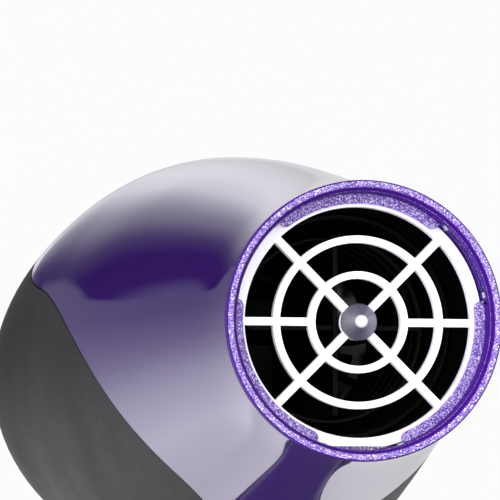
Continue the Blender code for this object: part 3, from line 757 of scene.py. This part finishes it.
def make_intake():
    profile = [(166.5, 27.3), (166.5, 28.6), (172.35, 28.6), (172.35, 30.2)]
    for i in range(7):
        turn = math.radians(180 * i / 6)
        profile.append((173.2 - 0.8 * math.cos(turn), 30.0 + 0.6 * math.sin(turn)))
    profile += [(174.4, 29.0), (174.4, 26.6), (173.2, 26.2), (172.4, 27.3)]
    cap = turned("intake_cap", profile, "black_soft_touch", centre=(0, INTAKE_Z), segments=120)
    hoops = [turned("hoop", [(172.8, r - 0.9), (174.8, r - 0.9), (174.8, r + 0.9), (172.8, r + 0.9)],
                    centre=(0, INTAKE_Z), segments=96) for r in (9.5, 15.0, 20.5)]
    hoops.append(turned("middle", [(172.8, 0), (174.8, 0), (174.8, 5.2), (172.8, 5.2)], centre=(0, INTAKE_Z),
                        segments=64))
    spokes = []
    for step in range(8):
        spoke = block("spoke", (-0.8, 0.8), (172.9, 174.65), (4.0 + INTAKE_Z, 26.9 + INTAKE_Z))
        turn_about_barrel(spoke, 45 * step + 22.5, INTAKE_Z)
        spokes.append(spoke)
    combine(cap, gather("hoops", hoops), "UNION")
    combine(cap, gather("spokes", spokes), "UNION")
    shade(cap, 35)
    soften(cap, 0.25, 2, 40.0)
    finish_piece(cap, "intake_cap", "black_soft_touch", "intake_grille")


# ------------------------------------------------------------------ handle end

def handle_outline(half_width, half_depth):
    """The handle's cross section: the smooth curve that the subdivided shells follow."""
    corners = ((half_width, -half_depth), (0, -half_depth), (-half_width, -half_depth), (-half_width, 0),
               (-half_width, half_depth), (0, half_depth), (half_width, half_depth), (half_width, 0))
    points = []
    each = 12
    for i in range(8):
        p = [Vector(corners[(i + k) % 8]) for k in range(-1, 3)]
        for s in range(each):
            t = s / each
            points.append((p[0] * (1 - t) ** 3 + p[1] * (3 * t ** 3 - 6 * t * t + 4)
                           + p[2] * (-3 * t ** 3 + 3 * t * t + 3 * t + 1) + p[3] * t ** 3) / 6)
    return points


def make_handle_end():
    rounding, rounding_top = 2.4, -157.2
    levels = [(-148.5, 2.6), (HANDLE_BASE, 2.6), (HANDLE_BASE, 0.25), (-152.65, 0.0), (rounding_top, 0.0)]
    for i in range(1, 9):
        turn = math.radians(90 * i / 8)
        levels.append((rounding_top - rounding * math.sin(turn), rounding * (1 - math.cos(turn))))
    bm = bmesh.new()
    rings = []
    for z, inset in levels:
        outline = handle_outline(HANDLE_HALF_WIDTH - inset, HANDLE_HALF_DEPTH - inset)
        rings.append([bm.verts.new(place(p.x, HANDLE_Y + p.y, z)) for p in outline])
    count = len(rings[0])
    for first, second in zip(rings, rings[1:]):
        for k in range(count):
            m = (k + 1) % count
            bm.faces.new((first[k], first[m], second[m], second[k]))
    bm.faces.new(rings[0])
    bm.faces.new(list(reversed(rings[-1])))
    cap = add_object("end_cap", bm, "black_soft_touch")
    combine(cap, gather("holes", [
        turned("hole", [(-140.0, 0), (-140.0, 4.6), (-165.0, 4.6), (-165.0, 0)], axis="Z",
               centre=(0, CORD_Y), segments=64),
        turned("hole", [(-140.0, 0), (-140.0, 1.9), (-165.0, 1.9), (-165.0, 0)], axis="Z",
               centre=(0, LOOP_Y), segments=32)]), "DIFFERENCE")
    shade(cap, 35)
    finish_piece(cap, "housing", "black_soft_touch", "handle_end_cap")

    gland = turned("cord_bush", [
        (-146.9, 3.0), (-146.9, 5.6), (-148.2, 5.6), (-148.2, 4.3), (-159.9, 4.3), (-159.9, 5.3), (-160.1, 5.6),
        (-160.8, 5.6), (-161.0, 5.35), (-161.3, 5.3), (-161.5, 5.5), (-162.0, 5.3), (-162.2, 5.0), (-162.5, 4.9),
        (-162.8, 5.0), (-163.2, 4.6), (-163.4, 4.2), (-163.4, 3.2), (-163.2, 3.0)], "black_rubber", axis="Z",
        centre=(0, CORD_Y), segments=72)
    finish_piece(gland, "housing", "black_rubber", "cord_gland")

    eye_z, radius, steps = -167.7, 6.2, 72
    path = []
    for i in range(steps):
        angle = 2 * math.pi * i / steps
        path.append(place(0, LOOP_Y + radius * math.sin(angle), eye_z + radius * math.cos(angle)))
    loop = tube_along("hang_loop", path, 1.6, 20, "black_rubber", closed=True, level=(1, 0, 0))
    stem = turned("stem", [(-146.8, 0), (-146.8, 2.8), (-148.2, 2.8), (-148.2, 1.6), (-159.8, 1.6), (-160.6, 1.9),
                           (-161.4, 1.3), (-161.4, 0)], axis="Z", centre=(0, LOOP_Y), segments=32)
    combine(loop, stem, "UNION")
    shade(loop, 40)
    finish_piece(loop, "housing", "black_rubber", "hanging_loop")


def make_panel_marks():
    """Raised marks beside each slider's positions, and a trim ring round the cool shot button."""
    marks = []
    for rest in SLIDER_RESTS:
        for step in range(3):
            for side in (-5.6, 5.6):
                marks.append(turned("mark", [
                    (93.02, 0), (93.06, 0.2), (93.16, 0.34), (PANEL_FRONT, 0.38), (PANEL_FRONT, 0)], "silver_plastic",
                    centre=(side, rest + SLIDER_STEP * step), segments=20))
    marks.append(turned("trim", [
        (93.1, 4.85), (93.02, 5.0), (93.02, 5.2), (93.12, 5.35), (PANEL_FRONT, 5.35), (PANEL_FRONT, 4.8)],
        "silver_plastic", centre=(0, BUTTON_Z), segments=64))
    finish_piece(gather("panel_marks", marks), "housing", "silver_plastic")


def dress_cad_nodes():
    """The carried-over CAD pieces get the same materials, with their edges softened."""
    slots = {
        "heat_sleeve": "heat_plastic", "mica_sleeve": "mica", "mica_board_upright": "mica",
        "mica_board_level": "mica", "thermostat": "motor_steel", "thermal_fuse": "silver_plastic",
        "fan_duct": "duct_plastic", "motor": "motor_steel", "motor_shaft": "screw_steel", "fan": "duct_plastic",
        "lint_filter": "black_rubber", "switch_panel": "black_gloss", "speed_slider": "silver_plastic",
        "heat_slider": "silver_plastic", "cool_shot_button": "silver_plastic",
        "cool_shot_switch": "heat_plastic", "speed_switch": "heat_plastic", "heat_switch": "heat_plastic",
        "circuit_board": "circuit_green", "voltage_dial": "black_gloss", "handle_screw_upper": "screw_steel",
        "handle_screw_lower": "screw_steel",
    }
    softened = {"switch_panel": 0.3, "speed_slider": 0.25, "heat_slider": 0.25, "cool_shot_button": 0.2,
                "voltage_dial": 0.2, "fan": 0.2, "handle_screw_upper": 0.15, "handle_screw_lower": 0.15}
    for name, slot in slots.items():
        item = nodes[name]
        item.data.materials.clear()
        item.data.materials.append(looks[slot])
        for polygon in item.data.polygons:
            polygon.material_index = 0
        if name in softened:
            soften(item, softened[name], 2, 35.0)


# ------------------------------------------------------------------ studio

def make_world():
    """Studio surroundings, as seen in reflections; the camera itself sees plain white.

    Behind the dryer a bright sweep fades upwards, with a dark flag above it. In front of it is a soft fill.
    """
    world = bpy.data.worlds.new("studio")
    bpy.context.scene.world = world
    world.use_nodes = True
    tree = world.node_tree
    tree.nodes.clear()

    def add(kind, inputs=None, **settings):
        return add_node(tree, kind, inputs, **settings)

    def calc(operation, a, b=0.0):
        return add("ShaderNodeMath", {0: a, 1: b}, operation=operation).outputs[0]

    def between(value, low, high, start=0.0, end=1.0, smooth=False):
        node = add("ShaderNodeMapRange", {"Value": value, "From Min": low, "From Max": high, "To Min": start,
                                          "To Max": end})
        node.interpolation_type = "SMOOTHSTEP" if smooth else "LINEAR"
        return node.outputs["Result"]

    def mix(factor, a, b):
        return calc("ADD", calc("MULTIPLY", calc("SUBTRACT", 1.0, factor), a), calc("MULTIPLY", factor, b))

    brightest = 2.5

    def curve(value, low, high, stops):
        """A level that follows (value, level) stops, for levels up to the brightest."""
        node = add("ShaderNodeValToRGB", {"Fac": between(value, low, high)})
        elements = node.color_ramp.elements
        while len(elements) < len(stops):
            elements.new(0.5)
        for element, (position, level) in zip(elements, stops):
            element.position = (position - low) / (high - low)
            element.color = (level / brightest,) * 3 + (1.0,)
        share = add("ShaderNodeSeparateColor", {"Color": node.outputs["Color"]}).outputs["Red"]
        return calc("MULTIPLY", share, brightest)

    direction = add("ShaderNodeTexCoord").outputs["Generated"]
    split = add("ShaderNodeSeparateXYZ", {"Vector": direction})
    x, y, z = (split.outputs[k] for k in "XYZ")
    degrees = 180 / math.pi
    # height above the horizon and bearing from straight behind the dryer, both in degrees
    height = calc("MULTIPLY", calc("ARCSINE", z), degrees)
    bearing = calc("MULTIPLY", calc("ARCTAN2", calc("MULTIPLY", x, -1.0), y), degrees)
    sweep = curve(height, -60.0, 12.0, [
        (-60.0, 1.5), (-30.0, 1.65), (-24.5, 1.86), (-20.0, 2.1), (-16.5, 1.9), (-13.5, 1.68), (-10.5, 1.47),
        (-7.5, 1.24), (-4.5, 0.93), (-1.5, 0.67), (1.5, 0.48), (4.5, 0.36), (7.5, 0.25), (12.0, 0.2)])
    right_sweep = curve(height, -60.0, 12.0, [
        (-60.0, 1.35), (-30.0, 1.35), (-20.0, 1.25), (-16.5, 1.18), (-13.5, 1.07), (-10.5, 0.99), (-7.5, 0.87),
        (-4.5, 0.77), (0.0, 0.7), (4.5, 0.76), (7.5, 0.8), (12.0, 0.86)])
    middle_sweep = curve(height, -60.0, 12.0, [
        (-60.0, 1.45), (-30.0, 1.7), (-20.0, 1.52), (-10.0, 1.22), (0.0, 1.1), (6.0, 1.25), (12.0, 1.4)])
    sweep = mix(between(bearing, 10.0, 13.5, smooth=True), middle_sweep, sweep)
    sweep = mix(between(bearing, -1.5, 3.5, smooth=True), right_sweep, sweep)
    flag = curve(bearing, -30.0, 60.0, [
        (-30.0, 0.95), (-12.5, 1.0), (-8.0, 1.25), (-5.0, 1.35), (-1.0, 1.28), (2.0, 0.92), (4.0, 0.7), (6.0, 0.52),
        (8.0, 0.4), (10.0, 0.23), (12.0, 0.1), (14.5, 0.03), (16.0, 0.0), (21.0, 0.0), (24.0, 0.25), (28.0, 0.6),
        (34.0, 0.9), (60.0, 1.0)])
    # where the flag ends above the sweep, in tens of degrees
    edge = curve(bearing, -30.0, 35.0, [
        (-30.0, 1.16), (4.0, 1.22), (8.0, 1.28), (13.0, 1.3), (14.7, 1.25), (16.8, 1.19), (19.0, 1.1),
        (22.5, 1.1), (24.0, 1.18), (26.5, 1.4), (35.0, 2.2)])
    above = between(calc("SUBTRACT", height, calc("MULTIPLY", edge, 10.0)), -0.3, 0.3)
    climb = mix(between(bearing, -1.0, 3.0), between(height, 11.0, 18.5, 0.68, 1.0), 1.0)
    rear = mix(above, sweep, calc("MULTIPLY", flag, climb))
    front = mix(between(height, -30.0, 50.0, smooth=True), 0.75, 1.35)
    facing = calc("ADD", calc("MULTIPLY", x, -0.19), calc("MULTIPLY", y, -0.98))
    fill = mix(between(facing, 0.86, 0.97, smooth=True), front, 1.6)
    level = mix(between(y, -0.25, 0.35, smooth=True), fill, rear)
    tint = add("ShaderNodeCombineColor", {
        "Red": level,
        "Green": calc("MULTIPLY", level, 0.985),
        "Blue": calc("MULTIPLY", level, 1.01),
    }).outputs["Color"]
    surroundings = add("ShaderNodeBackground", {"Color": tint, "Strength": 1.0})
    plain = add("ShaderNodeBackground", {"Color": (0.975, 0.975, 0.98, 1.0), "Strength": 1.0})
    seen = add("ShaderNodeLightPath").outputs["Is Camera Ray"]
    both = add("ShaderNodeMixShader", {0: seen, 1: surroundings.outputs[0], 2: plain.outputs[0]})
    add("ShaderNodeOutputWorld", {"Surface": both.outputs[0]})


def make_floor():
    bm = bmesh.new()
    bmesh.ops.create_grid(bm, x_segments=8, y_segments=8, size=14.0)
    floor = add_object("floor", bm)
    m = Nodes("floor_look")
    cloud = m.noise(1.2, 3.0)
    m.set(Base_Color=m.mix(m.between(cloud, 0.3, 0.7), (0.86, 0.86, 0.87), (0.88, 0.88, 0.885)))
    m.set(Roughness=0.6)
    floor.data.materials.append(m.material)
    floor.location.z = -0.0004
    floor.visible_glossy = False


def add_light(name, location, target, size, power):
    data = bpy.data.lights.new(name, "AREA")
    data.shape = "DISK"
    data.size = size
    data.energy = power
    lamp = bpy.data.objects.new(name, data)
    bpy.context.scene.collection.objects.link(lamp)
    lamp.location = location
    lamp.rotation_euler = (Vector(target) - Vector(location)).to_track_quat("-Z", "Y").to_euler()
    lamp.visible_camera = False
    return lamp


def make_camera():
    """In front of the outlet, a little to its left and below the barrel, on a long lens."""
    distance = 600.0
    left, up_shift = 18.85, 11.45
    azimuth = math.radians(-10.66)
    elevation = math.radians(-4.23)
    back = Vector((math.sin(azimuth) * math.cos(elevation), -math.cos(azimuth) * math.cos(elevation),
                   math.sin(elevation)))
    right = Vector((math.cos(azimuth), math.sin(azimuth), 0.0))
    up = back.cross(right)
    data = bpy.data.cameras.new("camera")
    data.lens = 265.2
    data.sensor_width = 36.0
    data.clip_start = 0.05
    data.clip_end = 60.0
    camera = bpy.data.objects.new("camera", data)
    bpy.context.scene.collection.objects.link(camera)
    camera.location = place(0, 0, 0) + MM * (back * distance - right * left + up * up_shift)
    camera.rotation_mode = "QUATERNION"
    camera.rotation_quaternion = (-back).to_track_quat("-Z", "Y")
    bpy.context.scene.camera = camera


make_shells()
make_outlet()
make_inside()
make_spring()
make_intake()
make_handle_end()
make_panel_marks()
dress_cad_nodes()
make_world()
make_floor()
key = add_light("key", (-0.7, -1.1, 0.95), (0, -0.05, 0.16), 0.5, 7.0)
key.visible_glossy = False
add_light("fill", (0.9, -0.8, 0.6), (0, 0, 0.12), 0.6, 2.5)
bounce = add_light("bounce", (-0.75, -0.35, 0.03), (0, 0.03, 0.13), 0.5, 8.5)
bounce.visible_glossy = False
bounce.data.color = (0.95, 0.84, 1.2)
make_camera()
bpy.context.scene.view_settings.view_transform = "Standard"
